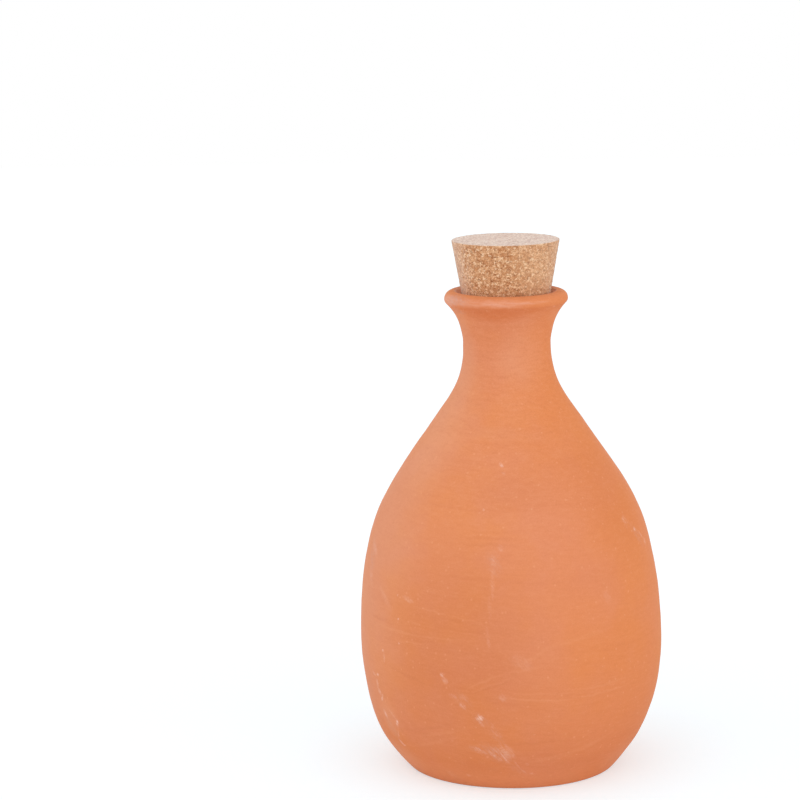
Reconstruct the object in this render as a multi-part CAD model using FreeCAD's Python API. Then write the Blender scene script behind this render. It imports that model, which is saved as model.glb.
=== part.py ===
import FreeCAD, Part

import math
import os

from FreeCAD import Vector

# An irrigation olla: a thrown, unglazed clay bottle that is buried beside plants up to
# its neck, holds water and seeps it through the wall. A tapered stopper of granulated
# cork wedges in the mouth. Millimetres and degrees; the foot stands on z = 0, and the
# bottle turns about the Z axis. Its section is a chain of arcs and one straight slope,
# each running smoothly into the next. A lean is an angle from the upright.

# The body below the belly: the side comes in along a wide arc and then the haunch's.
belly_radius = 71.0
belly_height = 60.7
lower_belly_round = 115.9
haunch_lean = 13.1
haunch_round = 74.9
foot_edge_round = 0.9

# The body above the belly: a long arc, the shoulder's arc, a straight slope, and the
# hollow arc that turns upright into the neck.
upper_belly_round = 213.7
shoulder_lean = 11.3
shoulder_round = 103.5
slope_lean = 34.0
neck_root_round = 51.4
neck_radius = 20.4

# The mouth: a short straight throat, where a filling funnel's spout goes. Above it the
# neck opens along an arc, and the lip is rolled out into a soft bead, round below, round
# over the top, and rounded off into the mouth's inside.
throat_length = 4.0
flare_radius = 25.2
flare_lean = 45.6
bead_under_round = 2.4
bead_top_round = 4.15
lip_inner_round = 1.8

# The clay's thickness.
body_wall = 5.2
neck_wall = 3.8
floor_thickness = 7.5
floor_edge_round = 16.0

# The stopper: how far it goes into the mouth and stands out of it.
seat_depth = 6.1
stopper_standing = 23.6
stopper_taper = 9.93
stopper_edge_cut = 0.25
stopper_clearance = 0.3

UP = Vector(0, 0, 1)
FULL_TURN = 360
HALF_TURN = 180
QUARTER_TURN = 90


def section_point(radius, height):
    return Vector(radius, 0, height)


def facing(angle):
    """The direction in the section plane at an angle up from the outward way."""
    turn = math.radians(angle)
    return Vector(math.cos(turn), 0, math.sin(turn))


def arc_edge(centre, radius, start_angle, end_angle):
    """An arc in the section plane."""
    points = []
    for angle in (start_angle, (start_angle + end_angle) / 2, end_angle):
        points.append(centre + facing(angle) * radius)
    return Part.Arc(*points).toShape()


def line_edge(start, end):
    return Part.LineSegment(start, end).toShape()


def bottom_round(centre, radius, level, edge_round):
    """The small arc that turns a level bottom up into a big arc it touches inside."""
    drop = centre.z - level - edge_round
    reach = math.sqrt((radius - edge_round) ** 2 - drop ** 2)
    round_centre = section_point(centre.x + reach, level + edge_round)
    lean = math.degrees(math.asin(drop / (radius - edge_round)))
    return round_centre, lean


def body_side(wall, level, edge_round, neck_end):
    """The body's side, a wall in from its outside, from its level bottom to the neck."""
    low_centre = section_point(belly_radius - lower_belly_round, belly_height)
    haunch_centre = low_centre + facing(-haunch_lean) * (lower_belly_round - haunch_round)
    high_centre = section_point(belly_radius - upper_belly_round, belly_height)
    shoulder_step = upper_belly_round - shoulder_round
    shoulder_centre = high_centre + facing(shoulder_lean) * shoulder_step
    haunch = haunch_round - wall
    shoulder = shoulder_round - wall
    root = neck_root_round + wall
    edge_centre, foot_lean = bottom_round(haunch_centre, haunch, level, edge_round)
    slope_start = shoulder_centre + facing(slope_lean) * shoulder
    across = slope_start.x - neck_end - root * (1 - facing(slope_lean).x)
    slope_way = facing(slope_lean + QUARTER_TURN)
    slope_end = slope_start + slope_way * (across / -slope_way.x)
    root_centre = slope_end + facing(slope_lean) * root
    edges = [
        arc_edge(edge_centre, edge_round, -QUARTER_TURN, -foot_lean),
        arc_edge(haunch_centre, haunch, -foot_lean, -haunch_lean),
        arc_edge(low_centre, lower_belly_round - wall, -haunch_lean, 0),
        arc_edge(high_centre, upper_belly_round - wall, 0, shoulder_lean),
        arc_edge(shoulder_centre, shoulder, shoulder_lean, slope_lean),
        line_edge(slope_start, slope_end),
        arc_edge(root_centre, root, HALF_TURN + slope_lean, HALF_TURN),
    ]
    bottom = section_point(edge_centre.x, level)
    neck = section_point(neck_end, root_centre.z)
    return edges, bottom, neck


def outer_side():
    return body_side(0, 0, foot_edge_round, neck_radius)


def inner_side():
    bore_radius = neck_radius - neck_wall
    return body_side(body_wall, floor_thickness, floor_edge_round, bore_radius)


def lip_centres():
    """The centres of the flare, the bead's underside and the bead's top."""
    edges, bottom, neck = outer_side()
    flare = neck + facing(0) * flare_radius
    under = flare + facing(HALF_TURN - flare_lean) * (flare_radius + bead_under_round)
    top = under + facing(0) * (bead_under_round - bead_top_round)
    return flare, under, top


def lip_crest():
    """The highest point of the lip."""
    top = lip_centres()[-1]
    return top + UP * bead_top_round


def throat_ends():
    """The throat's lower and upper end, on the wall of the bore."""
    edges, bottom, low_end = inner_side()
    return low_end, low_end + UP * throat_length


def mouth_funnel():
    """The arc of the mouth's inside: upright at the throat, it runs into the lip's round."""
    throat = throat_ends()[1]
    crest = lip_crest()
    reach = crest.x - throat.x
    rise = crest.z - lip_inner_round - throat.z
    squares = reach ** 2 + rise ** 2 - lip_inner_round ** 2
    radius = squares / (2 * (reach - lip_inner_round))
    lean = math.degrees(math.asin(rise / (radius - lip_inner_round)))
    return throat + facing(0) * radius, radius, lean


def mouth_radius_at(height):
    """The radius of the mouth's inside at a height."""
    centre, radius, lean = mouth_funnel()
    return centre.x - math.sqrt(radius ** 2 - (height - centre.z) ** 2)


def mouth_edges():
    """The flare, the rolled lip, the funnel and the throat, from outside to inside."""
    flare, under, top = lip_centres()
    inner = lip_crest() - UP * lip_inner_round
    funnel, funnel_radius, opening = mouth_funnel()
    return [
        arc_edge(flare, flare_radius, HALF_TURN, HALF_TURN - flare_lean),
        arc_edge(under, bead_under_round, -flare_lean, 0),
        arc_edge(top, bead_top_round, 0, QUARTER_TURN),
        arc_edge(inner, lip_inner_round, QUARTER_TURN, HALF_TURN - opening),
        arc_edge(funnel, funnel_radius, HALF_TURN - opening, HALF_TURN),
        line_edge(*throat_ends()),
    ]


def clay_bottle():
    """The thrown bottle: one piece of clay, cut off level at the foot."""
    outside, foot, neck = outer_side()
    inside, floor, bore = inner_side()
    foot_centre = section_point(0, foot.z)
    floor_centre = section_point(0, floor.z)
    foot_lines = [
        line_edge(floor, floor_centre),
        line_edge(floor_centre, foot_centre),
        line_edge(foot_centre, foot),
    ]
    outline = outside + mouth_edges() + inside[::-1] + foot_lines
    return Part.Face(Part.Wire(outline)).revolve(foot_centre, UP, FULL_TURN)


def rim_edges(solid, height):
    """The round edges that lie at one height."""
    close = 1e-6
    found = []
    for edge in solid.Edges:
        box = edge.BoundBox
        if abs(box.ZMin - height) < close and abs(box.ZMax - height) < close:
            found.append(edge)
    return found


def cork_stopper():
    """The tapered stopper, its lower end sized to the mouth where it wedges."""
    bottom = lip_crest().z - seat_depth
    length = seat_depth + stopper_standing
    lower_radius = mouth_radius_at(bottom) - stopper_clearance
    upper_radius = lower_radius + length * math.tan(math.radians(stopper_taper))
    cork = Part.makeCone(lower_radius, upper_radius, length, section_point(0, bottom), UP)
    ends = rim_edges(cork, bottom) + rim_edges(cork, bottom + length)
    return cork.makeChamfer(stopper_edge_cut, ends)


def write_parts():
    os.makedirs("parts", exist_ok=True)
    solids = {
        "clay_bottle": clay_bottle(),
        "cork_stopper": cork_stopper(),
    }
    for name, solid in solids.items():
        solid.exportStep("parts/" + name + ".step")


write_parts()
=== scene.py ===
import math
import random

import bpy
from mathutils import Matrix, Vector, noise


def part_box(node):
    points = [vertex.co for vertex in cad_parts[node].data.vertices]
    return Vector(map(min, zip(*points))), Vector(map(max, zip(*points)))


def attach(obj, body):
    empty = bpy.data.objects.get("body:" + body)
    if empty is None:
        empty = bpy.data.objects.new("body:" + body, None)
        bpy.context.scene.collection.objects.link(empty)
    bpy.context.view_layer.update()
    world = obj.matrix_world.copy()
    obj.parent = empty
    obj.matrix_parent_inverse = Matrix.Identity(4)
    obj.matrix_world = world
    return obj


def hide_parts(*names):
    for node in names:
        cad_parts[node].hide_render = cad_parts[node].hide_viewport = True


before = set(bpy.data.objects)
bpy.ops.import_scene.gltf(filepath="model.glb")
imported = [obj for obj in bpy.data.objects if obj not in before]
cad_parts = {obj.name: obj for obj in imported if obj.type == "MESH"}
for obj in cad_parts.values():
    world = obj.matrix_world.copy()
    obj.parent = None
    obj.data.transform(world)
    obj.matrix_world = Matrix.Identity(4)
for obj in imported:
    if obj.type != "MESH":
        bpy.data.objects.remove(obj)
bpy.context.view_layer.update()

# The bottle: red earthenware, thrown on the wheel as one piece, cut off level at the foot
# and fired without glaze. Its side is a chain of arcs and one straight slope, the lip is
# rolled out into a soft bead, and the inside follows one wall further in.

# Sizes in millimetres and degrees, as in the solid; leans are angles from the upright.
BELLY_RADIUS = 71.0
BELLY_HEIGHT = 60.7
LOWER_BELLY_ROUND = 115.9
HAUNCH_LEAN = 13.1
HAUNCH_ROUND = 74.9
FOOT_EDGE_ROUND = 0.9
UPPER_BELLY_ROUND = 213.7
SHOULDER_LEAN = 11.3
SHOULDER_ROUND = 103.5
SLOPE_LEAN = 34.0
NECK_ROOT_ROUND = 51.4
NECK_RADIUS = 20.4
THROAT_LENGTH = 4.0
FLARE_RADIUS = 25.2
FLARE_LEAN = 45.6
BEAD_UNDER_ROUND = 2.4
BEAD_TOP_ROUND = 4.15
LIP_INNER_ROUND = 1.8
BODY_WALL = 5.2
NECK_WALL = 3.8
FLOOR_THICKNESS = 7.5
FLOOR_EDGE_ROUND = 16.0
SEGMENTS_ROUND = 240
MM = 0.001


def facing(angle):
    """The direction in the section at an angle up from the outward way."""
    turn = math.radians(angle)
    return Vector((math.cos(turn), math.sin(turn)))


def arc_rings(centre, radius, start, end, spacing, hollow=False):
    """Places for rings along an arc, each with the way that its surface faces."""
    count = max(2, math.ceil(abs(math.radians(end - start)) * radius / spacing))
    rings = []
    for step in range(count):
        out = facing(start + (end - start) * step / count)
        rings.append((centre + out * radius, -out if hollow else out))
    return rings


def straight_rings(start, end, faced, spacing):
    """Places for rings along a straight run, all facing one way."""
    count = max(1, math.ceil((end - start).length / spacing))
    return [(start.lerp(end, step / count), faced) for step in range(count)]


def bottom_round(centre, radius, level, edge_round):
    """The centre of the small round between a level bottom and the haunch, and its lean."""
    drop = centre.y - level - edge_round
    reach = math.sqrt((radius - edge_round) ** 2 - drop ** 2)
    lean = math.degrees(math.asin(drop / (radius - edge_round)))
    return Vector((centre.x + reach, level + edge_round)), lean


def body_rings(wall, level, edge_round, neck_end, spacing):
    """The body's side from its level bottom up to the neck, a wall in from the outside."""
    low = Vector((BELLY_RADIUS - LOWER_BELLY_ROUND, BELLY_HEIGHT))
    haunch = low + facing(-HAUNCH_LEAN) * (LOWER_BELLY_ROUND - HAUNCH_ROUND)
    high = Vector((BELLY_RADIUS - UPPER_BELLY_ROUND, BELLY_HEIGHT))
    shoulder = high + facing(SHOULDER_LEAN) * (UPPER_BELLY_ROUND - SHOULDER_ROUND)
    edge, foot_lean = bottom_round(haunch, HAUNCH_ROUND - wall, level, edge_round)
    start = shoulder + facing(SLOPE_LEAN) * (SHOULDER_ROUND - wall)
    root_round = NECK_ROOT_ROUND + wall
    across = start.x - neck_end - root_round * (1 - facing(SLOPE_LEAN).x)
    end = start + facing(SLOPE_LEAN + 90) * (across / math.sin(math.radians(SLOPE_LEAN)))
    root = end + facing(SLOPE_LEAN) * root_round
    edge_spacing = min(spacing, edge_round / 5)
    rings = arc_rings(edge, edge_round, -90, -foot_lean, edge_spacing)
    rings += arc_rings(haunch, HAUNCH_ROUND - wall, -foot_lean, -HAUNCH_LEAN, spacing)
    rings += arc_rings(low, LOWER_BELLY_ROUND - wall, -HAUNCH_LEAN, 0, spacing)
    rings += arc_rings(high, UPPER_BELLY_ROUND - wall, 0, SHOULDER_LEAN, spacing)
    rings += arc_rings(shoulder, SHOULDER_ROUND - wall, SHOULDER_LEAN, SLOPE_LEAN, spacing)
    rings += straight_rings(start, end, facing(SLOPE_LEAN), spacing)
    rings += arc_rings(root, root_round, 180 + SLOPE_LEAN, 180, spacing, hollow=True)
    return rings, Vector((edge.x, level)), Vector((neck_end, root.y))


def bottle_rings():
    """All rings of the clay, from the middle of the foot round to the middle of the floor."""
    outside, foot, neck = body_rings(0, 0, FOOT_EDGE_ROUND, NECK_RADIUS, 1.2)
    bore = NECK_RADIUS - NECK_WALL
    inside, floor, low_throat = body_rings(BODY_WALL, FLOOR_THICKNESS, FLOOR_EDGE_ROUND, bore, 4.0)
    throat = low_throat + facing(90) * THROAT_LENGTH
    flare = neck + facing(0) * FLARE_RADIUS
    under = flare + facing(180 - FLARE_LEAN) * (FLARE_RADIUS + BEAD_UNDER_ROUND)
    top = under + facing(0) * (BEAD_UNDER_ROUND - BEAD_TOP_ROUND)
    crest = top + facing(90) * BEAD_TOP_ROUND
    inner = crest - facing(90) * LIP_INNER_ROUND
    reach = crest.x - throat.x
    rise = inner.y - throat.y
    funnel_round = (reach ** 2 + rise ** 2 - LIP_INNER_ROUND ** 2) / (2 * (reach - LIP_INNER_ROUND))
    opening = math.degrees(math.asin(rise / (funnel_round - LIP_INNER_ROUND)))
    funnel = throat + facing(0) * funnel_round
    outside += arc_rings(flare, FLARE_RADIUS, 180, 180 - FLARE_LEAN, 1.0, hollow=True)
    outside += arc_rings(under, BEAD_UNDER_ROUND, -FLARE_LEAN, 0, 0.4)
    outside += arc_rings(top, BEAD_TOP_ROUND, 0, 90, 0.6)
    rings = straight_rings(Vector((2.0, 0.0)), foot, facing(-90), 4.0)
    rings += outside
    rings += arc_rings(inner, LIP_INNER_ROUND, 90, 180 - opening, 0.4)
    rings += arc_rings(funnel, funnel_round, 180 - opening, 180, 1.4)
    rings += straight_rings(throat, low_throat, facing(180), 1.4)
    rings += [(place, -faced) for place, faced in reversed(inside)]
    rings += straight_rings(floor, Vector((2.0, floor.y)), facing(90), 5.0)
    return rings, outside


# How far the thrown side stands out of the arcs, and its middle to the right, by height.
SIDE_STANDS_OUT = [
    (0, 0.0), (6, -0.05), (16, 0.42), (30, 0.18), (48, 0.04), (72, 0.03), (88, 0.26),
    (108, 0.1), (117, 0.22), (134, 0.02), (149, 0.26), (162, -0.06), (176, -0.3),
    (184, -0.5), (194, -0.24), (200, 0.0), (207, 0.34), (216, 0.16), (222, 0.1), (226, 0.0),
]
MIDDLE_TO_THE_RIGHT = [
    (0, 0.05), (6, -0.05), (11, -0.03), (20, 0.05), (40, 0.62), (58, 0.52), (76, 0.26),
    (100, -0.02), (120, 0.1), (136, 0.18), (148, -0.06), (166, 0.22), (185, 0.38), (200, 0.24),
    (212, 0.24), (226, 0.12),
]


def by_height(table, z):
    """A value read from a table by height, eased from each entry to the next."""
    for (low, below), (high, above) in zip(table, table[1:]):
        if z <= high:
            break
    share = min(1.0, max(0.0, (z - low) / (high - low)))
    return below + (above - below) * share * share * (3 - 2 * share)


# How far the throwing rings climb for each millimetre to the right, and how far they, the
# rib's lines and the soft wall's swell stand out, in millimetres.
RINGS_CLIMB = 0.07
FINGER_RINGS = 0.08
RIB_LINES = 0.02
WALL_SWELL = 0.16


def throwing_relief(x, y, z):
    """How far the turned clay stands out at a point of it, in millimetres.

    The potter's fingers leave rings that climb a little to one side, a rib drags fine
    lines between them, and the soft wall is never quite round.
    """
    climbing = z + RINGS_CLIMB * x
    ridges = noise.noise(Vector((x * 0.008, y * 0.008, climbing * 0.17)))
    lines = noise.noise(Vector((x * 0.02 + 40, y * 0.02, climbing * 0.75)))
    swell = noise.noise(Vector((x * 0.02, y * 0.02, z * 0.03 + 9)))
    return FINGER_RINGS * ridges + RIB_LINES * lines + WALL_SWELL * swell


def wandering_axis(z):
    """How far the section's middle wanders to the right at a height, in millimetres."""
    return by_height(MIDDLE_TO_THE_RIGHT, z)


# Where hands lifted the wet bottle off the wheel: the azimuth, the share by which the foot
# is wider there, and the height at which that ends. A hand's press reaches so many degrees
# to each side, and the power says how sharply it fades.
LIFTED_FOOT = [(34, 0.0255, 18), (-90, -0.007, 8), (90, -0.003, 8)]
PRESS_REACHES = 100
PRESS_POWER = 6


def lifted_foot(angle, z):
    """How many times wider the bottle is than round, at an angle and a height."""
    wider = 1.0
    for azimuth, share, up_to in LIFTED_FOOT:
        away = (math.degrees(angle) - azimuth + 180) % 360 - 180
        if abs(away) < PRESS_REACHES and z < up_to:
            pressed = math.cos(math.radians(90 / PRESS_REACHES * away)) ** PRESS_POWER
            wider += share * pressed * (1 - z / up_to) ** 2
    return wider


def turned_mesh(name, rings, segments, relief, wander, widened):
    """A closed mesh turned about the upright axis from rings, with its relief on it."""
    points = []
    for place, faced in rings:
        middle = wander(place.y)
        for step in range(segments):
            angle = math.tau * step / segments
            across, along = math.sin(angle), -math.cos(angle)
            x, y, z = place.x * across, place.x * along, place.y
            stands = relief(x, y, z, faced)
            radius = (place.x + faced.x * stands) * widened(angle, place.y)
            points.append((
                (radius * across + middle) * MM,
                radius * along * MM,
                (z + faced.y * stands) * MM,
            ))
    faces = []
    for ring in range(len(rings) - 1):
        for step in range(segments):
            following = (step + 1) % segments
            low, high = ring * segments, (ring + 1) * segments
            faces.append((low + step, low + following, high + following, high + step))
    faces.append(tuple(reversed(range(segments))))
    last = (len(rings) - 1) * segments
    faces.append(tuple(range(last, last + segments)))
    mesh = bpy.data.meshes.new(name)
    mesh.from_pydata(points, [], faces)
    mesh.polygons.foreach_set("use_smooth", [True] * len(mesh.polygons))
    return mesh


# How far the lip's crest sank while it was soft, and how much more it did for each
# millimetre to the right and to the back.
LIP_STARTS = 217.0
CREST_SANK = 0.37
MORE_TO_THE_RIGHT = 0.0076
MORE_TO_THE_BACK = 0.0046


def sunk_crest(x, y, z, faced):
    """How far the lip's crest lies under its arc, which fades down both sides of it."""
    if z < LIP_STARTS or faced.y < 0:
        return 0.0
    return faced.y ** 4 * (CREST_SANK + MORE_TO_THE_RIGHT * x + MORE_TO_THE_BACK * y)


# The cut foot and the stopper's seat stay true: the relief fades in above the one, and out
# below the other.
FOOT_FADE = 4.0
SEAT_STARTS = 215.0
SEAT_FADE = 20.0


def clay_relief(x, y, z, faced):
    """The relief on the bottle's side and inside, in millimetres along the way it faces."""
    if faced.y < -0.9:
        return 0.0
    sunk = sunk_crest(x, y, z, faced)
    if faced.x > 0:
        fade = min(1.0, max(0.0, z) / FOOT_FADE)
        stands = throwing_relief(x, y, z) + faced.x * by_height(SIDE_STANDS_OUT, z)
        return fade * stands - sunk
    seat_fade = min(1.0, max(0.0, SEAT_STARTS - z) / SEAT_FADE)
    return seat_fade * throwing_relief(x, y, z) - sunk


clay_rings, side_rings = bottle_rings()
bottle_mesh = turned_mesh(
    "clay_olla", clay_rings, SEGMENTS_ROUND, clay_relief, wandering_axis, lifted_foot)
bottle = bpy.data.objects.new("clay_olla", bottle_mesh)
bpy.context.collection.objects.link(bottle)


def painted(red, green, blue):
    """A screen colour, each part from 0 to 255, as the light values that a shader takes."""
    values = []
    for part in (red, green, blue):
        part = part / 255
        values.append(part / 12.92 if part <= 0.04045 else ((part + 0.055) / 1.055) ** 2.4)
    return (*values, 1.0)


def add_node(tree, kind, sockets, **settings):
    """A node with its settings, its inputs either linked or set."""
    node = tree.nodes.new(kind)
    for setting, value in settings.items():
        setattr(node, setting, value)
    for socket, value in sockets.items():
        if isinstance(value, bpy.types.NodeSocket):
            tree.links.new(value, node.inputs[socket])
        else:
            node.inputs[socket].default_value = value
    return node


def calculate(tree, operation, first, second=0.0):
    """A sum, product or other calculation on one or two values."""
    node = add_node(tree, "ShaderNodeMath", {0: first, 1: second}, operation=operation)
    return node.outputs[0]


def spread(tree, value, low, high, to_low=0.0, to_high=1.0):
    """A value between two limits, eased from one result to the other."""
    node = add_node(
        tree, "ShaderNodeMapRange",
        {"Value": value, "From Min": low, "From Max": high, "To Min": to_low, "To Max": to_high},
        interpolation_type="SMOOTHSTEP",
    )
    return node.outputs["Result"]


def measured(tree, vector, sizes, turned=(0, 0, 0), middle=(0, 0, 0)):
    """The surface point in steps of a pattern's own sizes, about its middle and turned."""
    node = add_node(
        tree, "ShaderNodeMapping",
        {"Vector": vector, "Scale": sizes, "Rotation": turned, "Location": middle},
        vector_type="TEXTURE",
    )
    return node.outputs["Vector"]


def cloudy(tree, vector, scale, detail=2.0, roughness=0.5):
    """A soft random pattern, centred on one half."""
    node = add_node(
        tree, "ShaderNodeTexNoise",
        {"Vector": vector, "Scale": scale, "Detail": detail, "Roughness": roughness},
    )
    return node.outputs["Fac"]


def coloured(tree, amount, under, over, blend="MIX"):
    """One colour laid over another by an amount."""
    node = tree.nodes.new("ShaderNodeMix")
    node.data_type = "RGBA"
    node.blend_type = blend
    for socket, value in ((node.inputs[0], amount), (node.inputs[6], under), (node.inputs[7], over)):
        if isinstance(value, bpy.types.NodeSocket):
            tree.links.new(value, socket)
        else:
            socket.default_value = value
    return node.outputs[2]


def new_material(name):
    material = bpy.data.materials.new(name)
    material.use_nodes = True
    material.node_tree.nodes.clear()
    return material, material.node_tree


def side_frame(azimuth, height):
    """A place on the side, in metres, with the ways round, up and out of it there."""
    for (low, faced), (high, _) in zip(side_rings, side_rings[1:]):
        if low.y <= height <= high.y:
            break
    place = low.lerp(high, (height - low.y) / (high.y - low.y))
    turn = math.radians(azimuth)
    out = Vector((math.sin(turn), -math.cos(turn), 0))
    around = Vector((math.cos(turn), math.sin(turn), 0))
    outward = out * faced.x + Vector((0, 0, faced.y))
    centre = (out * place.x + Vector((0, 0, place.y))) * MM
    return centre, around, outward.cross(around), outward


def rubbed(tree, point, marks, depth):
    """How strongly the nearest of some long or round marks on the side shows at a point."""
    strongest = 0.0
    for azimuth, height, length, width, tilt, strength in marks:
        centre, around, upward, outward = side_frame(azimuth, height)
        lean = math.radians(tilt)
        along = around * math.cos(lean) + upward * math.sin(lean)
        across = upward * math.cos(lean) - around * math.sin(lean)
        mark = add_node(
            tree, "ShaderNodeTexGradient", {"Vector": point}, gradient_type="SPHERICAL")
        mark.texture_mapping.vector_type = "TEXTURE"
        mark.texture_mapping.translation = centre
        mark.texture_mapping.rotation = Matrix((along, across, outward)).transposed().to_euler()
        mark.texture_mapping.scale = (length / 2 * MM, width / 2 * MM, depth * MM)
        shown = spread(tree, mark.outputs["Fac"], 0.0, 0.8, 0.0, strength)
        strongest = calculate(tree, "MAXIMUM", shown, strongest)
    return strongest


# Chalky scuffs, each with its azimuth from the front to the right, its height, length and
# width in millimetres, its tilt and its strength.
SHOULDER_SPECKS = [
    (-4.0, 150.7, 3.4, 2.6, -38, 0.30), (-2.3, 147.4, 2.6, 2.4, -58, 0.14),
    (-11.5, 132.5, 1.2, 1.2, 0, 0.28), (60.0, 122.4, 3.4, 2.6, -48, 0.30),
    (60.5, 121.0, 10.0, 6.0, -95, 0.10), (66.2, 116.4, 3.6, 2.4, -54, 0.42),
    (71.3, 112.6, 7.0, 1.8, -52, 0.20), (74.0, 108.7, 6.0, 4.0, -74, 0.16),
]
DRIP_AND_SMEARS = [
    (-3.5, 116.4, 5.0, 3.6, -45, 0.13), (-6.4, 111.0, 7.0, 3.4, -78, 0.12),
    (-6.5, 101.0, 20.0, 3.0, -90, 0.10), (-6.9, 103.2, 6.0, 1.8, -90, 0.10),
    (-70.8, 107.7, 15.0, 5.0, -27, 0.14), (-69.6, 95.0, 14.0, 5.0, -50, 0.10),
    (-42.0, 90.3, 10.0, 3.4, -16, 0.14), (-55.6, 88.0, 20.0, 4.5, -40, 0.08),
    (40.0, 90.7, 11.0, 6.0, -62, 0.06), (4.4, 65.2, 16.0, 9.0, -34, 0.07),
    (-7.4, 90.0, 20.0, 2.6, -88, 0.05), (-8.1, 76.9, 14.0, 2.6, -83, 0.09),
]
KNOCKS_ON_THE_FRONT = [
    (-25.9, 58.0, 3.4, 3.2, -34, 0.24), (-24.9, 55.8, 5.6, 4.0, -51, 0.19),
    (-21.7, 48.4, 7.0, 3.0, -25, 0.10), (-17.5, 48.4, 6.0, 4.5, -30, 0.08),
    (-18.3, 44.3, 5.4, 3.4, -54, 0.2), (-11.9, 38.8, 4.4, 3.5, -4, 0.55),
    (-12.1, 39.5, 3.5, 2.4, -35, 0.26), (-11.3, 36.1, 6.0, 2.2, -59, 0.13),
    (-7.1, 35.1, 5.0, 2.0, -68, 0.10), (-5.9, 31.3, 7.5, 2.6, -46, 0.10),
    (-2.9, 48.9, 5.6, 4.8, -47, 0.11), (-21.0, 6.9, 3.6, 3.0, -19, 0.14),
    (-30.7, 6.4, 8.0, 5.0, -51, 0.09),
]
RUB_ABOVE_THE_FOOT = [
    (-13.5, 22.6, 7.0, 2.8, -30, 0.18), (-11.0, 21.0, 9.0, 2.6, -2, 0.10),
    (-7.8, 20.5, 9.5, 2.8, -42, 0.20), (-5.9, 22.2, 10.0, 2.4, -39, 0.16),
    (-3.1, 19.1, 12.0, 3.0, -62, 0.26), (-4.7, 17.6, 3.0, 2.4, -50, 0.28),
    (-2.2, 22.3, 14.0, 8.5, -51, 0.17), (0.0, 20.7, 7.0, 3.5, -62, 0.14),
    (2.5, 14.4, 8.5, 1.1, -58, 0.30), (5.6, 10.5, 6.0, 1.0, -49, 0.16),
    (6.6, 15.0, 3.4, 2.0, -59, 0.16), (9.4, 9.0, 4.2, 2.0, -12, 0.14),
]
FLAKES_ON_THE_LEFT = [
    (-47.8, 91.2, 1.3, 1.3, 0, 0.41), (-46.9, 80.4, 1.4, 1.4, 0, 0.47),
    (-46.3, 69.0, 1.6, 1.4, 0, 0.41), (-55.5, 60.2, 7.0, 1.5, -90, 0.27),
    (-56.3, 63.4, 2.0, 1.6, 0, 0.34), (-65.0, 49.6, 6.0, 2.4, -17, 0.36),
    (-61.5, 50.1, 3.4, 2.2, 9, 0.48), (-63.2, 45.1, 7.0, 3.0, -97, 0.36),
    (-62.3, 41.8, 7.0, 3.0, -49, 0.38), (-60.7, 39.0, 6.0, 2.2, -125, 0.60),
    (-60.6, 30.9, 7.6, 3.2, -65, 0.31), (-54.7, 32.4, 8.4, 1.8, -38, 0.22),
    (-52.6, 28.9, 5.8, 2.8, -106, 0.60), (-54.4, 22.7, 6.0, 1.6, -112, 0.24),
    (-54.4, 18.5, 6.0, 2.6, -39, 0.30), (-53.0, 17.5, 3.2, 1.6, 8, 0.41),
]

# A thin greyish film of chalk that spreads round the scuffs, in the same terms.
CHALKY_FILM = [
    (-6.4, 20.8, 22.0, 12.0, -30, 0.22), (-13.0, 22.4, 16.0, 6.0, -15, 0.14),
    (-18.0, 46.0, 16.0, 10.0, -40, 0.08), (-11.5, 38.0, 12.0, 8.0, -30, 0.12),
    (-6.0, 110.0, 18.0, 9.0, -70, 0.12), (-5.5, 30.0, 14.0, 8.0, -50, 0.08),
    (-72.0, 104.0, 26.0, 12.0, -70, 0.14), (-58.0, 24.0, 18.0, 10.0, -60, 0.14),
    (67.0, 114.0, 20.0, 7.0, -60, 0.14), (2.0, 12.5, 18.0, 6.0, -40, 0.08),
    (200.0, 40.0, 24.0, 12.0, -40, 0.16), (130.0, 90.0, 20.0, 9.0, -60, 0.12),
    (-56.0, 222.8, 26.0, 8.0, 0, 0.34), (-56.0, 217.5, 14.0, 6.0, 0, 0.2),
]


def scattered_scuffs(count):
    """Scuffs of the same kind on the bottle's far side."""
    chance = random.Random(11)
    scuffs = []
    for _ in range(count):
        azimuth = chance.uniform(95, 265)
        height = chance.triangular(8, 150, 30)
        length = chance.uniform(2.5, 9)
        width = chance.uniform(1.4, 3.4)
        tilt = chance.uniform(-110, -20)
        scuffs.append((azimuth, height, length, width, tilt, chance.uniform(0.1, 0.4)))
    return scuffs


SCUFFS = (
    SHOULDER_SPECKS + DRIP_AND_SMEARS + KNOCKS_ON_THE_FRONT + RUB_ABOVE_THE_FOOT
    + FLAKES_ON_THE_LEFT + scattered_scuffs(18)
)

# Chalk that the hands left on the lip's bead, partly a painted highlight along its front; broad patches
# that the kiln coloured; and a band of painted shade under the lip.
CHALK_AND_HIGHLIGHT_ON_THE_LIP = [
    (-6.0, 222.3, 34.0, 4.4, -1, 0.36), (-3.0, 222.6, 22.0, 1.8, -1, 0.40),
    (-36.0, 222.2, 24.0, 5.2, 0, 0.24), (12.0, 222.2, 30.0, 2.6, 2, 0.32),
    (-66.0, 221.8, 24.0, 7.0, 0, 0.46),
    (34.0, 222.4, 14.0, 1.6, 0, 0.16), (140.0, 221.6, 34.0, 3.0, 0, 0.28),
    (215.0, 222.0, 26.0, 3.4, 0, 0.30), (52.0, 219.6, 2.6, 1.8, -40, 0.30),
]
PINK_PATCHES = [
    (22.0, 102.0, 90.0, 96.0, 0, 0.22), (1.0, 112.0, 60.0, 34.0, 0, 0.20),
    (-31.0, 112.0, 60.0, 74.0, 0, 0.14), (150.0, 112.0, 80.0, 60.0, 10, 0.25),
    (240.0, 60.0, 70.0, 50.0, -10, 0.22),
]
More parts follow.
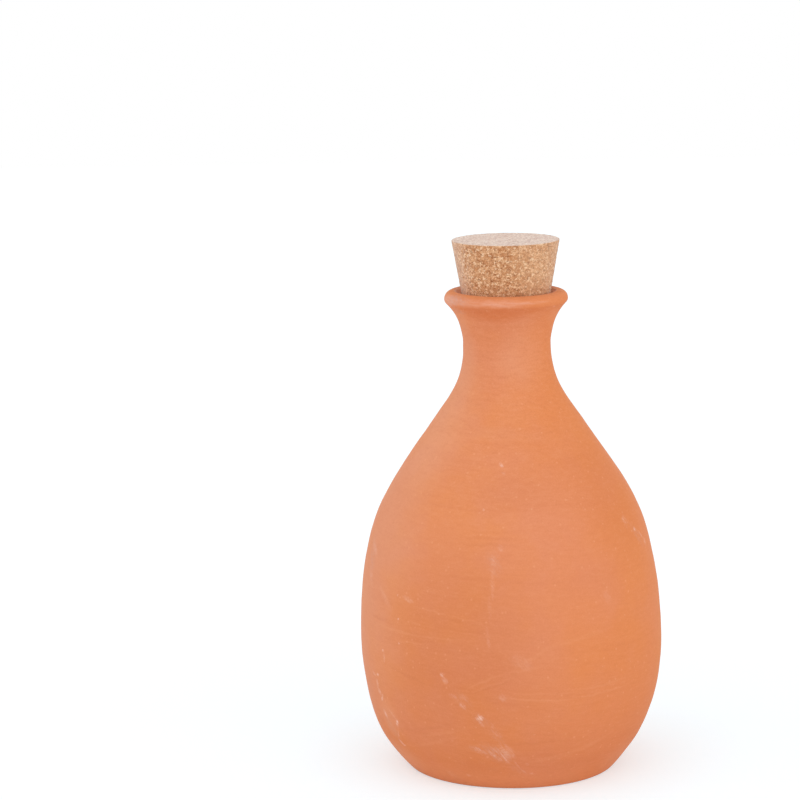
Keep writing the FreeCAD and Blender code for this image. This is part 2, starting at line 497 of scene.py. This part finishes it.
PALE_PATCHES = [
    (24.0, 197.0, 32.0, 48.0, 0, 0.3), (-58.0, 163.0, 50.0, 86.0, 6, 0.27),
    (-64.0, 213.0, 18.0, 20.0, 0, 0.24), (64.0, 215.0, 16.0, 14.0, 0, 0.2),
    (-62.0, 9.0, 44.0, 28.0, 0, 0.44), (60.0, 9.0, 36.0, 28.0, 0, 0.36),
    (-58.0, 30.0, 24.0, 26.0, 20, 0.3), (-10.0, 164.0, 60.0, 11.0, 0, 0.13),
    (190.0, 186.0, 40.0, 40.0, 0, 0.25),
]
DARK_PATCHES = [
    (-19.0, 70.0, 108.0, 130.0, 0, 0.28), (57.0, 134.0, 60.0, 84.0, 0, 0.3),
    (2.0, 140.0, 60.0, 30.0, 0, 0.16), (190.0, 60.0, 100.0, 80.0, 0, 0.22),
    (120.0, 160.0, 50.0, 40.0, 0, 0.2), (-34.0, 44.0, 34.0, 26.0, 0, 0.13),
    (-12.0, 24.0, 74.0, 40.0, 0, 0.06), (-15.0, 13.0, 28.0, 20.0, 0, 0.12),
]
# Painted shade: patches that darken the neck under the lip's bead, where the bead's shadow falls.
PAINTED_SHADE_UNDER_THE_LIP = [
    (-12.0, 217.6, 54.0, 17.0, 0, 0.46), (16.0, 219.0, 34.0, 10.0, 0, 0.36),
    (-4.0, 206.0, 44.0, 26.0, 0, 0.12), (-44.0, 218.8, 20.0, 6.0, 0, 0.3),
    (170.0, 217.0, 60.0, 15.0, 0, 0.4), (-105.0, 218.0, 50.0, 12.0, 0, 0.3),
    (95.0, 218.0, 50.0, 12.0, 0, 0.3),
]

# Thin lines that the rib dragged round, in the same terms.
PALE_LINES = [
    (-31.4, 87.1, 28.0, 1.3, -7, 0.15), (-17.1, 84.8, 28.0, 1.2, -7, 0.10),
    (-48.1, 74.9, 44.0, 1.9, -1, 0.15), (-27.4, 74.9, 40.0, 1.7, 1, 0.10),
    (-43.7, 70.1, 50.0, 1.5, 7, 0.09), (-9.2, 56.7, 28.0, 1.9, 23, 0.13),
    (-5.2, 55.7, 28.0, 1.6, 22, 0.09), (6.0, 62.0, 32.0, 2.0, 9, 0.10),
    (9.8, 68.5, 30.0, 3.0, 28, 0.10), (26.6, 74.5, 42.0, 3.0, 9, 0.08),
    (11.2, 47.3, 50.0, 1.7, -4, 0.15), (36.3, 47.4, 48.0, 1.7, 2, 0.15),
    (13.8, 50.1, 50.0, 1.5, -3, 0.10), (37.0, 51.0, 44.0, 1.6, 3, 0.11),
    (30.5, 20.5, 46.0, 4.0, 18, 0.12), (18.9, 18.0, 40.0, 3.0, 14, 0.09),
    (-34.4, 23.0, 50.0, 3.0, 20, 0.10), (-28.1, 29.2, 42.0, 2.4, 17, 0.09),
    (128.0, 84.0, 60.0, 1.6, 4, 0.18), (208.0, 52.0, 70.0, 1.8, -3, 0.16),
    (150.0, 47.0, 50.0, 1.7, -4, 0.14), (262.0, 44.0, 60.0, 1.8, 5, 0.13),
]
DARK_LINES = [
    (-59.1, 77.7, 28.0, 2.4, 0, 0.13), (-7.0, 54.1, 28.0, 1.9, 22, 0.10),
    (-42.0, 54.6, 34.0, 2.4, -11, 0.12), (-23.4, 52.4, 38.0, 2.2, 0, 0.08),
    (-33.6, 30.9, 46.0, 2.4, 16, 0.08), (-6.6, 117.9, 40.0, 2.4, -1, 0.10),
    (-9.5, 120.7, 32.0, 2.2, -1, 0.08), (-16.9, 103.2, 30.0, 2.2, -3, 0.07),
    (5.0, 26.0, 60.0, 2.6, 1, 0.09), (165.0, 70.0, 60.0, 1.8, -4, 0.12),
    (232.0, 98.0, 50.0, 1.6, 3, 0.12), (96.0, 58.0, 60.0, 2.2, 6, 0.12),
]


def shaken(tree, point, scale, reach):
    """A point moved a little at random, so that what is drawn by it gets a ragged edge."""
    noise_colour = add_node(
        tree, "ShaderNodeTexNoise", {"Vector": point, "Scale": scale, "Detail": 2.0},
    ).outputs["Color"]
    centred = add_node(
        tree, "ShaderNodeVectorMath", {0: noise_colour, 1: (0.5, 0.5, 0.5)}, operation="SUBTRACT",
    ).outputs[0]
    moved = add_node(
        tree, "ShaderNodeVectorMath", {0: centred, 1: (reach, reach, reach), 2: point},
        operation="MULTIPLY_ADD",
    )
    return moved.outputs[0]


def facing_way(tree, normal, way):
    """How much a surface faces one way, from -1 to 1."""
    return add_node(
        tree, "ShaderNodeVectorMath", {0: normal, 1: Vector(way).normalized()},
        operation="DOT_PRODUCT",
    ).outputs["Value"]


def times(tree, first, second):
    return calculate(tree, "MULTIPLY", first, second)


def inside_the_mouth(tree, point, normal, height):
    """One on the mouth's inside, where the clay faces the bottle's own axis."""
    level = add_node(
        tree, "ShaderNodeVectorMath", {0: point, 1: (1, 1, 0)}, operation="MULTIPLY").outputs[0]
    outward = add_node(tree, "ShaderNodeVectorMath", {0: level}, operation="NORMALIZE").outputs[0]
    faced = add_node(
        tree, "ShaderNodeVectorMath", {0: normal, 1: outward}, operation="DOT_PRODUCT",
    ).outputs["Value"]
    return times(tree, spread(tree, faced, 0.0, -0.5), spread(tree, height, 0.19, 0.21))


def terracotta_material():
    """Matt, thirsty clay: cloudy orange, turned lines, dust, lime specks, scuffs, painted light and
    shade.
    """
    material, tree = new_material("unglazed_terracotta")
    place = tree.nodes.new("ShaderNodeTexCoord")
    point = place.outputs["Object"]
    normal = place.outputs["Normal"]
    climb = (0, RINGS_CLIMB, 0)
    dragged = shaken(tree, point, 8, 0.016)

    clouds = cloudy(tree, point, 24, 3.0, 0.55)
    colour = coloured(
        tree, spread(tree, clouds, 0.36, 0.64), painted(228, 143, 91), painted(226, 144, 103))
    drift = cloudy(tree, measured(tree, point, (0.06, 0.06, 0.03), climb), 1.0, 2.0, 0.5)
    colour = coloured(tree, spread(tree, drift, 0.55, 0.75, 0, 0.28), colour, painted(217, 131, 88))
    broad = cloudy(tree, measured(tree, dragged, (0.07, 0.07, 0.0042), climb), 1.0, 3.0, 0.6)
    colour = coloured(tree, spread(tree, broad, 0.5, 0.74, 0, 0.17), colour, painted(211, 123, 80))
    fine = cloudy(tree, measured(tree, dragged, (0.085, 0.085, 0.0012), climb), 1.0, 2.0, 0.6)
    parted = add_node(tree, "ShaderNodeSeparateXYZ", {0: point})
    height, to_the_back = parted.outputs["Z"], parted.outputs["Y"]
    turned_share = spread(tree, height, 0.13, 0.06, 0.6, 0.78)
    paler = times(tree, spread(tree, fine, 0.52, 0.8, 0, 0.13), turned_share)
    colour = coloured(tree, paler, colour, painted(238, 162, 120))
    darker = times(tree, spread(tree, fine, 0.48, 0.2, 0, 0.12), turned_share)
    colour = coloured(tree, darker, colour, painted(204, 116, 74))

    colour = coloured(tree, rubbed(tree, point, PINK_PATCHES, 80), colour, painted(225, 149, 134))
    colour = coloured(tree, rubbed(tree, point, PALE_PATCHES, 80), colour, painted(238, 174, 140))
    colour = coloured(tree, rubbed(tree, point, DARK_PATCHES, 80), colour, painted(200, 112, 70))
    # Painted shade under the lip's bead.
    under_lip_painted_shade = rubbed(tree, point, PAINTED_SHADE_UNDER_THE_LIP, 40)
    colour = coloured(tree, under_lip_painted_shade, colour, painted(212, 113, 52))
    # Painted shade: the lower body is painted darker and redder towards the foot, where less of the
    # light from above falls.
    low = spread(tree, height, 0.085, 0.012, 0.0, 0.24)
    colour = coloured(tree, low, colour, painted(208, 120, 76))
    # Painted light: the lowest band is painted paler towards the foot's edge, standing in for light
    # that the white floor throws into the shade at the foot.
    foot_painted_bounce_light = spread(tree, height, 0.017, 0.0, 0.0, 0.5)
    colour = coloured(tree, foot_painted_bounce_light, colour, painted(246, 166, 120))
    crest = spread(tree, height, 0.2234, 0.225, 0.0, 0.3)
    colour = coloured(tree, crest, colour, painted(216, 138, 72))
    # Painted shade: the back of the lip's crest, where the stopper shades it, is painted browner.
    back_crest_painted_shade = times(tree, spread(tree, to_the_back, 0.0, 0.014), spread(tree, height, 0.222, 0.224))
    colour = coloured(tree, times(tree, back_crest_painted_shade, 0.55), colour, painted(186, 108, 70))

    # Dust and painted light: where the clay faces left, towards the left lamp, it is painted paler and
    # pinker, in clouds.
    leftward = facing_way(tree, normal, (-0.95, -0.15, 0.25))
    bloom = cloudy(tree, point, 17, 4.0, 0.6)
    dust_and_painted_light = times(tree, spread(tree, leftward, 0.68, 1.0), spread(tree, bloom, 0.2, 0.7, 0.4, 1.0))
    colour = coloured(tree, times(tree, dust_and_painted_light, 0.4), colour, painted(228, 166, 136))
    # Painted light: where the clay faces the right lamp it is painted a warmer orange.
    rightward = facing_way(tree, normal, (0.9, -0.4, 0.1))
    right_side_painted_warm_light = spread(tree, rightward, 0.3, 1.0, 0, 0.45)
    colour = coloured(tree, right_side_painted_warm_light, colour, painted(229, 138, 82))

    # Painted light: the mouth's inside, with its rings, is painted paler and greyer, lifting the shade
    # in the mouth.
    inside = inside_the_mouth(tree, point, normal, height)
    ringed = coloured(
        tree, spread(tree, broad, 0.36, 0.66), painted(232, 180, 155), painted(208, 152, 124))
    colour = coloured(tree, times(tree, inside, 0.6), colour, ringed)
    # Painted light: a near-white band on the lip's inside, just above the stopper's seat, lifts the
    # shade there.
    mouth_painted_light = times(tree, inside, spread(tree, height, 0.2155, 0.219, 0, 0.75))
    mouth_painted_light = times(tree, mouth_painted_light, spread(tree, height, 0.2246, 0.2218, 0.2, 1.0))
    colour = coloured(tree, mouth_painted_light, colour, painted(250, 214, 192))

    from_the_wire = add_node(
        tree, "ShaderNodeVectorMath", {0: point, 1: (0.09, -0.035, 0)}, operation="DISTANCE",
    ).outputs["Value"]
    wire_arcs = add_node(
        tree, "ShaderNodeTexNoise", {"W": from_the_wire, "Scale": 520, "Detail": 3.0},
        noise_dimensions="1D",
    ).outputs["Fac"]
    underneath = spread(tree, facing_way(tree, normal, (0, 0, -1)), 0.9, 0.99)
    cut_marks = times(tree, underneath, spread(tree, wire_arcs, 0.35, 0.65))
    colour = coloured(tree, times(tree, cut_marks, 0.4), colour, painted(190, 106, 68))

    ragged = shaken(tree, point, 260, 0.002)
    # Chalk on the lip's bead, partly a painted highlight along the bead's front.
    chalk_and_painted_highlight = rubbed(tree, ragged, CHALK_AND_HIGHLIGHT_ON_THE_LIP, 14)
    streaky = cloudy(tree, measured(tree, point, (0.006, 0.006, 0.0007)), 1.0, 2.0)
    chalk_and_painted_highlight = times(tree, chalk_and_painted_highlight, spread(tree, streaky, 0.35, 0.65, 0.5, 1.3))
    colour = coloured(tree, chalk_and_painted_highlight, colour, painted(242, 184, 160))
    colour = coloured(tree, rubbed(tree, ragged, PALE_LINES, 16), colour, painted(242, 174, 130))
    colour = coloured(tree, rubbed(tree, ragged, DARK_LINES, 16), colour, painted(190, 100, 62))

    crumbled = shaken(tree, point, 1100, 0.0016)
    chalk = spread(tree, cloudy(tree, point, 1000, 2.0, 0.6), 0.32, 0.6, 0.45, 1.15)
    hairs = cloudy(tree, measured(tree, point, (0.005, 0.004, 0.0006), (0, 0.87, 0)), 1.0, 1.0)
    chalk = times(tree, chalk, spread(tree, hairs, 0.36, 0.62, 0.45, 1.35))
    filmed = times(tree, rubbed(tree, crumbled, CHALKY_FILM, 12), chalk)
    colour = coloured(tree, filmed, colour, painted(206, 164, 152))
    scuffed = times(tree, rubbed(tree, crumbled, SCUFFS, 5), chalk)
    colour = coloured(tree, scuffed, colour, painted(250, 210, 194))

    lime = add_node(tree, "ShaderNodeTexVoronoi", {"Vector": point, "Scale": 190}, feature="F1")
    chosen = add_node(tree, "ShaderNodeSeparateColor", {0: lime.outputs["Color"]}).outputs["Red"]
    speck = times(
        tree, spread(tree, lime.outputs["Distance"], 0.1, 0.05), spread(tree, chosen, 0.9, 1.0))
    colour = coloured(tree, times(tree, speck, 0.34), colour, painted(243, 186, 146))
    grit = add_node(tree, "ShaderNodeTexVoronoi", {"Vector": point, "Scale": 420}, feature="F1")
    picked = add_node(tree, "ShaderNodeSeparateColor", {0: grit.outputs["Color"]}).outputs["Green"]
    pale_grit = times(
        tree, spread(tree, grit.outputs["Distance"], 0.3, 0.14), spread(tree, picked, 0.72, 0.95))
    colour = coloured(tree, times(tree, pale_grit, 0.22), colour, painted(246, 180, 138))
    sandy = cloudy(tree, measured(tree, dragged, (0.0042, 0.0042, 0.0013), climb), 1.0, 2.0, 0.6)
    sandier = spread(tree, height, 0.1, 0.19, 0.07, 0.115)
    dark_sand = times(tree, spread(tree, sandy, 0.5, 0.3), sandier)
    colour = coloured(tree, dark_sand, colour, painted(198, 112, 74))
    pale_sand = times(tree, spread(tree, sandy, 0.5, 0.7), sandier)
    colour = coloured(tree, pale_sand, colour, painted(240, 170, 132))
    grain = cloudy(tree, point, 1500, 2.0, 0.7)
    grainier = spread(tree, height, 0.1, 0.18, 0.11, 0.155)
    dark_grain = times(tree, spread(tree, grain, 0.5, 0.3), grainier)
    colour = coloured(tree, dark_grain, colour, painted(198, 112, 74))
    pale_grain = times(tree, spread(tree, grain, 0.5, 0.72), grainier)
    colour = coloured(tree, pale_grain, colour, painted(240, 170, 132))

    pits = spread(tree, grit.outputs["Distance"], 0.0, 0.35)
    rough = spread(tree, bloom, 0.2, 0.8, 0.84, 0.95)
    turned = add_node(
        tree, "ShaderNodeBump", {"Height": fine, "Distance": 0.00025, "Strength": 0.16})
    pitted = add_node(
        tree, "ShaderNodeBump",
        {"Height": pits, "Distance": 0.00006, "Strength": 0.3, "Normal": turned.outputs[0]})
    cut = add_node(
        tree, "ShaderNodeBump",
        {"Height": cut_marks, "Distance": 0.0003, "Strength": 0.5, "Normal": pitted.outputs[0]})
    grained = add_node(
        tree, "ShaderNodeBump",
        {"Height": grain, "Distance": 0.00008, "Strength": 0.35, "Normal": cut.outputs[0]})
    shader = add_node(
        tree, "ShaderNodeBsdfPrincipled",
        {"Base Color": colour, "Roughness": rough, "Normal": grained.outputs[0],
         "Specular IOR Level": 0.12, "Sheen Weight": 0.15, "Sheen Roughness": 0.26,
         "Sheen Tint": painted(255, 236, 226)})
    add_node(tree, "ShaderNodeOutputMaterial", {"Surface": shader.outputs[0]})
    return material


bottle.data.materials.append(terracotta_material())
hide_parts("clay_bottle")
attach(bottle, "bottle")

# The stopper: a taper cut from a block of pressed and glued cork granules, its side turned
# to the taper and its ends sanded flat. It is wedged in the mouth by its own taper and
# pulls straight out.

# Millimetres and degrees. The top is sanded lower than the solid's, and the granules stand
# proud by a little, less where they meet, where they lie lower, or where one is torn out.
CORK_TAPER = 9.93
CORK_EDGE_CUT = 0.25
SANDED_OFF = 0.32
CORK_SEGMENTS = 330
CORK_TO_THE_RIGHT = 0.14
GRANULE = 1.5
GRANULES_PROUD = 0.14
SEAM_WIDTH = 0.16
SEAM_DEPTH = 0.07
LEVELS_DIFFER = 0.06
TORN_DEPTH = 0.16
TORN_ABOVE = 0.9
SANDED_SHARE = 0.45
cork_low, cork_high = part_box("cork_stopper")


def cork_rings():
    """The stopper's rings in millimetres, from the middle of its lower end to its top's."""
    bottom, top = cork_low[2] / MM, cork_high[2] / MM - SANDED_OFF
    slope = math.tan(math.radians(CORK_TAPER))
    widest = cork_high[0] / MM
    narrowest = widest - (top + SANDED_OFF - bottom - 2 * CORK_EDGE_CUT) * slope
    faced = facing(-CORK_TAPER)
    rings = straight_rings(
        Vector((1.0, bottom)), Vector((narrowest - CORK_EDGE_CUT, bottom)), facing(-90), 0.9)
    rings += straight_rings(
        Vector((narrowest - CORK_EDGE_CUT, bottom)),
        Vector((narrowest, bottom + CORK_EDGE_CUT)), facing(-50), 0.2)
    rings += straight_rings(
        Vector((narrowest, bottom + CORK_EDGE_CUT)),
        Vector((widest, top - CORK_EDGE_CUT)), faced, 0.42)
    rings += straight_rings(
        Vector((widest, top - CORK_EDGE_CUT)),
        Vector((widest - CORK_EDGE_CUT, top)), facing(40), 0.2)
    rings += straight_rings(
        Vector((widest - CORK_EDGE_CUT, top)), Vector((1.0, top)), facing(90), 0.55)
    return rings


def granule_relief(x, y, z, faced):
    """Granules stand a little proud or torn out, with seams between; the ends are sanded."""
    point = Vector((x, y, z * 1.3)) / GRANULE
    point += noise.noise_vector(point * 0.9) * 0.35
    away, cells = noise.voronoi(point)
    seam = max(0.0, 1 - (away[1] - away[0]) / SEAM_WIDTH)
    level = noise.cell(cells[0] * 7.3)
    torn = 1.0 if level > TORN_ABOVE else 0.0
    share = SANDED_SHARE if abs(faced.y) > 0.8 else 1.0
    proud = GRANULES_PROUD - SEAM_DEPTH * seam - LEVELS_DIFFER * level - TORN_DEPTH * torn
    return share * proud


def cork_middle(z):
    """The stopper sits a little to the right at every height."""
    return CORK_TO_THE_RIGHT


def cork_roundness(angle, z):
    """The stopper is turned true, so it is nowhere wider than round."""
    return 1.0


# The noise that shifts the granules starts from the clock unless it is seeded.
noise.seed_set(5)
cork_mesh = turned_mesh(
    "granulated_cork", cork_rings(), CORK_SEGMENTS, granule_relief, cork_middle, cork_roundness)
cork = bpy.data.objects.new("granulated_cork", cork_mesh)
bpy.context.collection.objects.link(cork)


def granules(tree, point, size, seed):
    """A random value for each granule and how near the seams between them are."""
    shifted = measured(tree, point, (size, size, size * 0.8), (0, 0, 0), (seed, seed, 0))
    cells = add_node(
        tree, "ShaderNodeTexVoronoi", {"Vector": shifted, "Scale": 1.0}, feature="F1")
    value = add_node(tree, "ShaderNodeSeparateColor", {0: cells.outputs["Color"]})
    seams = add_node(
        tree, "ShaderNodeTexVoronoi", {"Vector": shifted, "Scale": 1.0},
        feature="DISTANCE_TO_EDGE")
    return value.outputs["Red"], value.outputs["Green"], seams.outputs["Distance"]


def ramp(tree, value, stops):
    """A colour read from a row of steps."""
    node = add_node(tree, "ShaderNodeValToRGB", {0: value})
    steps = node.color_ramp.elements
    while len(steps) < len(stops):
        steps.new(0.5)
    for step, (position, colour) in zip(steps, stops):
        step.position = position
        step.color = colour
    return node.outputs["Color"]


def curled(tree, point, strength):
    """Short curled shreds, where a random pattern crosses its middle value."""
    winding = calculate(tree, "ABSOLUTE", calculate(
        tree, "SUBTRACT", cloudy(tree, point, 640, 1.0, 0.5), 0.5))
    broken = spread(tree, cloudy(tree, point, 520, 1.0), 0.46, 0.56)
    return times(tree, times(tree, spread(tree, winding, 0.05, 0.012), broken), strength)


def cork_material():
    """Golden granules, browner ones, curled shreds, bark specks, thin brown seams; painted light and
    sheen.
    """
    material, tree = new_material("granulated_cork")
    place = tree.nodes.new("ShaderNodeTexCoord")
    straight = place.outputs["Object"]
    bend = add_node(tree, "ShaderNodeTexNoise", {"Vector": straight, "Scale": 700, "Detail": 2.0})
    pushed = add_node(
        tree, "ShaderNodeVectorMath",
        {0: bend.outputs["Color"], 1: (0.0011, 0.0011, 0.0011), 2: straight},
        operation="MULTIPLY_ADD",
    )
    point = pushed.outputs["Vector"]
    big, big_other, big_seam = granules(tree, point, 0.0016, 0.0)
    small, small_other, small_seam = granules(tree, point, 0.0008, 0.4)
    colour = ramp(tree, big, [
        (0.0, painted(181, 117, 73)), (0.22, painted(198, 137, 90)),
        (0.5, painted(210, 151, 104)), (0.78, painted(226, 170, 125)),
        (1.0, painted(246, 202, 158)),
    ])
    flakes = ramp(tree, small, [
        (0.0, painted(168, 106, 62)), (0.3, painted(204, 144, 97)),
        (0.65, painted(225, 171, 125)), (1.0, painted(254, 214, 172)),
    ])
    colour = coloured(tree, 0.45, colour, flakes)
    colour = coloured(tree, spread(tree, big_seam, 0.1, 0.0, 0, 0.5), colour, painted(172, 108, 66))
    colour = coloured(tree, spread(tree, small_seam, 0.1, 0.0, 0, 0.25), colour, painted(182, 118, 76))
    dark_curl = curled(tree, measured(tree, straight, (1, 1, 1), (0.4, 0, 0), (0.3, 0.1, 0.2)), 0.85)
    colour = coloured(tree, dark_curl, colour, painted(158, 96, 56))
    light_curl = curled(tree, straight, 0.8)
    colour = coloured(tree, light_curl, colour, painted(254, 218, 178))
    bark = spread(tree, small_other, 0.95, 0.98, 0, 0.6)
    colour = coloured(tree, bark, colour, painted(146, 92, 58))
    gleam = spread(tree, small_other, 0.07, 0.04, 0, 0.6)
    colour = coloured(tree, gleam, colour, painted(254, 224, 188))

    # Painted light: where the stopper faces front and right, towards the right lamp, it is painted
    # paler.
    front_right_painted_light = facing_way(tree, place.outputs["Normal"], (0.7, -0.7, 0))
    colour = coloured(tree, spread(tree, front_right_painted_light, 0.7, 1.0, 0, 0.21), colour, painted(246, 204, 164))
    # Painted sheen: the stopper's flanks that face left and right are painted paler, as at grazing
    # light.
    left_edge_painted_sheen = facing_way(tree, place.outputs["Normal"], (-1, 0, 0))
    colour = coloured(tree, spread(tree, left_edge_painted_sheen, 0.6, 1.0, 0, 0.34), colour, painted(236, 208, 190))
    right_edge_painted_sheen = facing_way(tree, place.outputs["Normal"], (1, 0, 0))
    colour = coloured(tree, spread(tree, right_edge_painted_sheen, 0.7, 1.0, 0, 0.1), colour, painted(238, 206, 180))

    upward = add_node(tree, "ShaderNodeSeparateXYZ", {0: place.outputs["Normal"]}).outputs["Z"]
    # The top, painted pale pinkish grey: partly the sanded end's dust, partly painted light from above;
    # the granules, seams, bark and shreds show in it.
    top_dust_and_painted_light = ramp(tree, big_other, [
        (0.0, painted(206, 175, 164)), (0.3, painted(226, 200, 185)),
        (0.55, painted(236, 213, 196)), (0.8, painted(244, 223, 206)),
        (1.0, painted(252, 235, 218)),
    ])
    crumbs = ramp(tree, small, [
        (0.0, painted(172, 132, 114)), (0.3, painted(227, 197, 180)),
        (0.7, painted(249, 228, 212)), (1.0, painted(255, 250, 240)),
    ])
    top_dust_and_painted_light = coloured(tree, 0.56, top_dust_and_painted_light, crumbs)
    top_dust_and_painted_light = coloured(tree, spread(tree, big_seam, 0.09, 0.0, 0, 0.34), top_dust_and_painted_light, painted(190, 150, 132))
    top_dust_and_painted_light = coloured(tree, times(tree, bark, 0.85), top_dust_and_painted_light, painted(156, 112, 90))
    top_dust_and_painted_light = coloured(tree, times(tree, light_curl, 0.55), top_dust_and_painted_light, painted(255, 244, 230))
    top_dust_and_painted_light = coloured(tree, times(tree, dark_curl, 0.5), top_dust_and_painted_light, painted(180, 142, 126))
    # Dust and painted light: this pale colour covers the faces that look up.
    top_dust_and_painted_light_share = spread(tree, upward, 0.75, 0.9, 0, 0.88)
    colour = coloured(tree, top_dust_and_painted_light_share, colour, top_dust_and_painted_light)
    # Painted highlight: the chamfer round the stopper's top edge, between up and out, is painted cream.
    rim_painted_highlight = times(tree, spread(tree, upward, 0.3, 0.6), spread(tree, upward, 0.9, 0.75))
    colour = coloured(tree, times(tree, rim_painted_highlight, 0.6), colour, painted(244, 220, 192))

    grain = cloudy(tree, straight, 2600, 2.0, 0.6)
    raised = spread(tree, small_seam, 0.0, 0.2)
    bumped = add_node(
        tree, "ShaderNodeBump", {"Height": raised, "Distance": 0.00012, "Strength": 0.45})
    grained = add_node(
        tree, "ShaderNodeBump",
        {"Height": grain, "Distance": 0.00006, "Strength": 0.5, "Normal": bumped.outputs[0]})
    rough = spread(tree, big_other, 0.0, 1.0, 0.75, 0.95)
    shader = add_node(
        tree, "ShaderNodeBsdfPrincipled",
        {"Base Color": colour, "Roughness": rough, "Normal": grained.outputs[0],
         "Specular IOR Level": 0.25, "Sheen Weight": 0.3, "Sheen Roughness": 0.34},
    )
    add_node(tree, "ShaderNodeOutputMaterial", {"Surface": shader.outputs[0]})
    return material


cork.data.materials.append(cork_material())
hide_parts("cork_stopper")
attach(cork, "stopper")

# The studio: a wide white sheet on the floor under a white sky, as for a cut-out picture.
# The sky lights the clay from all round, and two soft lamps give it its front.

# The sheet's own colour, and the one that only the camera's rays see, which makes up for
# the warm light that the clay throws on it. Half of what they see is the sheet lit evenly.
SHEET_COLOUR = painted(244, 243, 242)
SHEET_AS_SEEN = (1.05, 1.2, 1.28, 1)
EVENLY_LIT = 0.5
FLOOR_HALF_WIDTH = 3.0
floor_mesh = bpy.data.meshes.new("studio_floor")
floor_mesh.from_pydata(
    [(x * FLOOR_HALF_WIDTH, y * FLOOR_HALF_WIDTH, -0.0002)
     for x, y in ((-1, -1), (1, -1), (1, 1), (-1, 1))],
    [], [(0, 1, 2, 3)],
)
floor = bpy.data.objects.new("studio_floor", floor_mesh)
bpy.context.collection.objects.link(floor)

sheet, tree = new_material("white_sheet")
rays = tree.nodes.new("ShaderNodeLightPath")
fibre = spread(tree, cloudy(tree, tree.nodes.new("ShaderNodeTexCoord").outputs["Object"], 900), 0, 1)
white = coloured(tree, rays.outputs["Is Camera Ray"], SHEET_COLOUR, SHEET_AS_SEEN)
paper = add_node(
    tree, "ShaderNodeBump", {"Height": fibre, "Distance": 0.00005, "Strength": 0.2})
paper_shader = add_node(
    tree, "ShaderNodeBsdfDiffuse", {"Color": white, "Normal": paper.outputs[0]})
bright_paper = add_node(tree, "ShaderNodeEmission", {"Color": (1, 1, 1, 1), "Strength": 1.0})
seen_share = times(tree, rays.outputs["Is Camera Ray"], EVENLY_LIT)
lit_paper = add_node(
    tree, "ShaderNodeMixShader",
    {0: seen_share, 1: paper_shader.outputs[0], 2: bright_paper.outputs[0]})
add_node(tree, "ShaderNodeOutputMaterial", {"Surface": lit_paper.outputs[0]})
floor.data.materials.append(sheet)

sky = bpy.data.worlds.new("white_sky")
sky.use_nodes = True
tree = sky.node_tree
tree.nodes.clear()
SKY_LIGHT = 0.86
rays = tree.nodes.new("ShaderNodeLightPath")
seen = coloured(
    tree, rays.outputs["Is Camera Ray"],
    (SKY_LIGHT, SKY_LIGHT, SKY_LIGHT * 1.01, 1), (1, 1, 1, 1),
)
glow = add_node(tree, "ShaderNodeBackground", {"Color": seen, "Strength": 1.0})
add_node(tree, "ShaderNodeOutputWorld", {"Surface": glow.outputs[0]})
bpy.context.scene.world = sky


def soft_lamp(name, azimuth, elevation, strength, colour, softness):
    """A far, wide lamp, its azimuth from the front to the right, in degrees."""
    lamp = bpy.data.lights.new(name, "SUN")
    lamp.energy = strength
    lamp.color = colour
    lamp.angle = math.radians(softness)
    turn, rise = math.radians(azimuth), math.radians(elevation)
    way = Vector((math.sin(turn) * math.cos(rise), -math.cos(turn) * math.cos(rise), math.sin(rise)))
    stand = bpy.data.objects.new(name, lamp)
    stand.rotation_euler = way.to_track_quat("Z", "Y").to_euler()
    bpy.context.collection.objects.link(stand)


soft_lamp("left_window", -56, 34, 0.36, (1.0, 0.98, 0.97), 70)
soft_lamp("right_window", 45, 20, 0.48, (1.0, 0.96, 0.9), 70)

# The camera: level with the belly's top and a little above it, well back, so the foot's
# edge and the stopper's top show as shallow curves.

camera_data = bpy.data.cameras.new("camera")
camera_data.lens = 131.67
camera_data.sensor_width = 36.0
camera_data.clip_end = 100.0
camera = bpy.data.objects.new("camera", camera_data)
stands_back, eye_height = 1.348, 0.413
turned_left, looking_down, rolled = 0.03715, 0.17561, -0.01898
camera.matrix_world = (
    Matrix.Translation((0, -stands_back, eye_height))
    @ Matrix.Rotation(turned_left, 4, "Z")
    @ Matrix.Rotation(math.pi / 2 - looking_down, 4, "X")
    @ Matrix.Rotation(rolled, 4, "Z")
)
bpy.context.collection.objects.link(camera)
bpy.context.scene.camera = camera
bpy.context.scene.view_settings.view_transform = "Standard"
